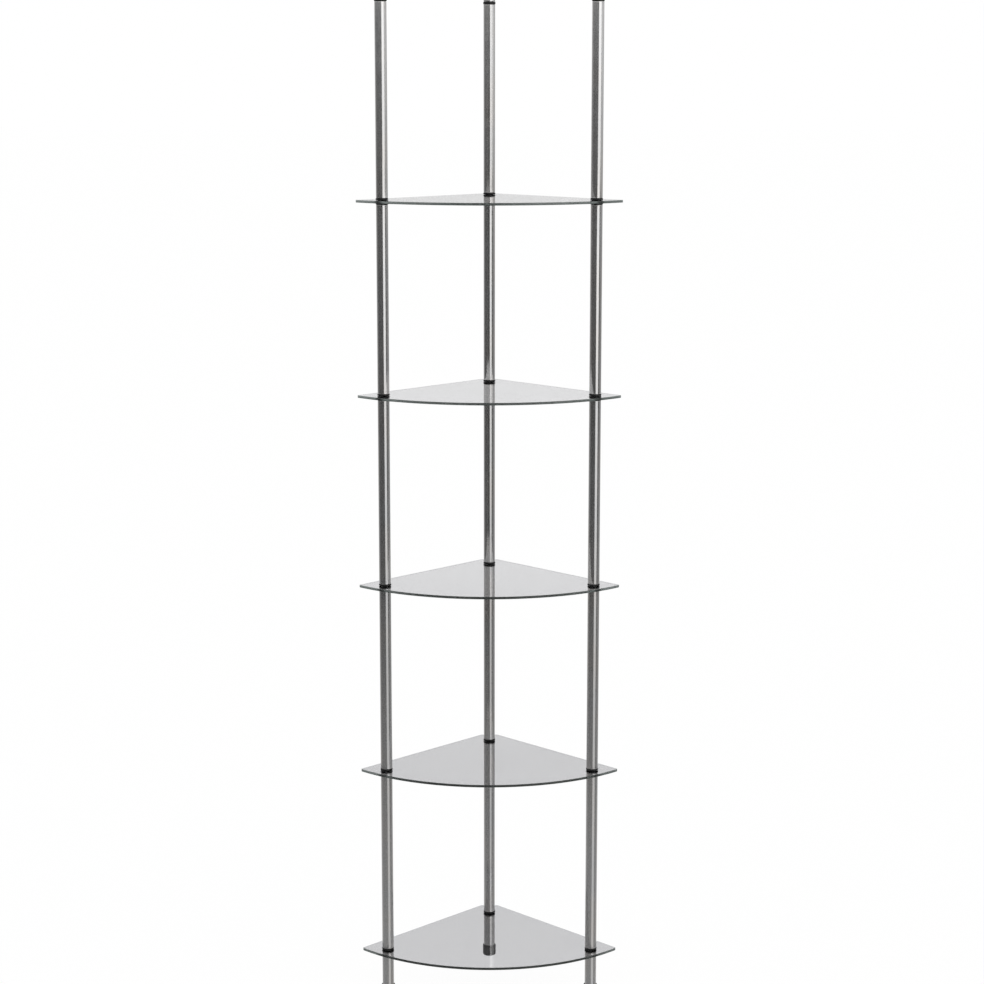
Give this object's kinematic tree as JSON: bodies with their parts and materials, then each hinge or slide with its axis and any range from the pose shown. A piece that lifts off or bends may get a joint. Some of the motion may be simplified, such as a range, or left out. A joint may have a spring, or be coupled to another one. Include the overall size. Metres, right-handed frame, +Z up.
{
  "type": "glass corner shelving unit",
  "caption": "Tall corner shelving unit: quarter-round glass shelves clamped between screw-together steel tube posts, with black grommets and levelling feet.",
  "frame": {"origin": "on the floor, under the middle of the unit's box", "axes": "+Z up along the posts, -Y the side that the curved fronts of the shelves face, +Y towards the corner of the room, +X to the right seen from the front"},
  "size_m": [0.4206, 0.2858, 1.6419],
  "materials": {
    "shelf_glass": "clear tempered float glass with a faint grey-green cast and dark polished edges",
    "post_steel": "polished stainless tube",
    "cap_steel": "polished stainless",
    "stud_steel": "zinc-plated thread",
    "grommet_rubber": "matte black rubber",
    "foot_plastic": "glossy near-black moulded plastic"
  },
  "bodies": {
    "unit": {"glass_shelf_1": "shelf_glass", "glass_shelf_2": "shelf_glass", "glass_shelf_3": "shelf_glass", "glass_shelf_4": "shelf_glass", "glass_shelf_5": "shelf_glass", "left_leg_tube": "post_steel", "left_tube_1": "post_steel", "left_tube_2": "post_steel", "left_tube_3": "post_steel", "left_tube_4": "post_steel", "left_top_tube": "post_steel", "left_grommet_1": "grommet_rubber", "left_grommet_2": "grommet_rubber", "left_grommet_3": "grommet_rubber", "left_grommet_4": "grommet_rubber", "left_grommet_5": "grommet_rubber", "left_cap_ring": "grommet_rubber", "left_cap": "cap_steel", "right_leg_tube": "post_steel", "right_tube_1": "post_steel", "right_tube_2": "post_steel", "right_tube_3": "post_steel", "right_tube_4": "post_steel", "right_top_tube": "post_steel", "right_grommet_1": "grommet_rubber", "right_grommet_2": "grommet_rubber", "right_grommet_3": "grommet_rubber", "right_grommet_4": "grommet_rubber", "right_grommet_5": "grommet_rubber", "right_cap_ring": "grommet_rubber", "right_cap": "cap_steel", "rear_leg_tube": "post_steel", "rear_tube_1": "post_steel", "rear_tube_2": "post_steel", "rear_tube_3": "post_steel", "rear_tube_4": "post_steel", "rear_top_tube": "post_steel", "rear_grommet_1": "grommet_rubber", "rear_grommet_2": "grommet_rubber", "rear_grommet_3": "grommet_rubber", "rear_grommet_4": "grommet_rubber", "rear_grommet_5": "grommet_rubber", "rear_cap_ring": "grommet_rubber", "rear_cap": "cap_steel"},
    "left_foot_stud": {"left_foot_stud": "stud_steel"},
    "left_foot_pad": {"left_foot_pad": "foot_plastic"},
    "right_foot_stud": {"right_foot_stud": "stud_steel"},
    "right_foot_pad": {"right_foot_pad": "foot_plastic"},
    "rear_foot_stud": {"rear_foot_stud": "stud_steel"},
    "rear_foot_pad": {"rear_foot_pad": "foot_plastic"}
  },
  "joints": [
    {"name": "left_foot_travel", "type": "slide", "parent": "unit", "child": "left_foot_stud", "axis": [0, 0, -1], "range_m": [0, 0.01]},
    {"name": "left_foot_turn", "type": "hinge", "parent": "left_foot_stud", "child": "left_foot_pad", "pos_m": [-0.16892, -0.05993, 0.009], "axis": [0, 0, -1], "range_deg": [0, 2880]},
    {"name": "right_foot_travel", "type": "slide", "parent": "unit", "child": "right_foot_stud", "axis": [0, 0, -1], "range_m": [0, 0.01]},
    {"name": "right_foot_turn", "type": "hinge", "parent": "right_foot_stud", "child": "right_foot_pad", "pos_m": [0.16892, -0.05993, 0.009], "axis": [0, 0, -1], "range_deg": [0, 2880]},
    {"name": "rear_foot_travel", "type": "slide", "parent": "unit", "child": "rear_foot_stud", "axis": [0, 0, -1], "range_m": [0, 0.01]},
    {"name": "rear_foot_turn", "type": "hinge", "parent": "rear_foot_stud", "child": "rear_foot_pad", "pos_m": [0, 0.10899, 0.009], "axis": [0, 0, -1], "range_deg": [0, 2880]}
  ],
  "couplings": [
    {"joint": "left_foot_turn", "follows": "left_foot_travel", "rad_per_m": 5026},
    {"joint": "right_foot_turn", "follows": "right_foot_travel", "rad_per_m": 5026},
    {"joint": "rear_foot_turn", "follows": "rear_foot_travel", "rad_per_m": 5026}
  ]
}
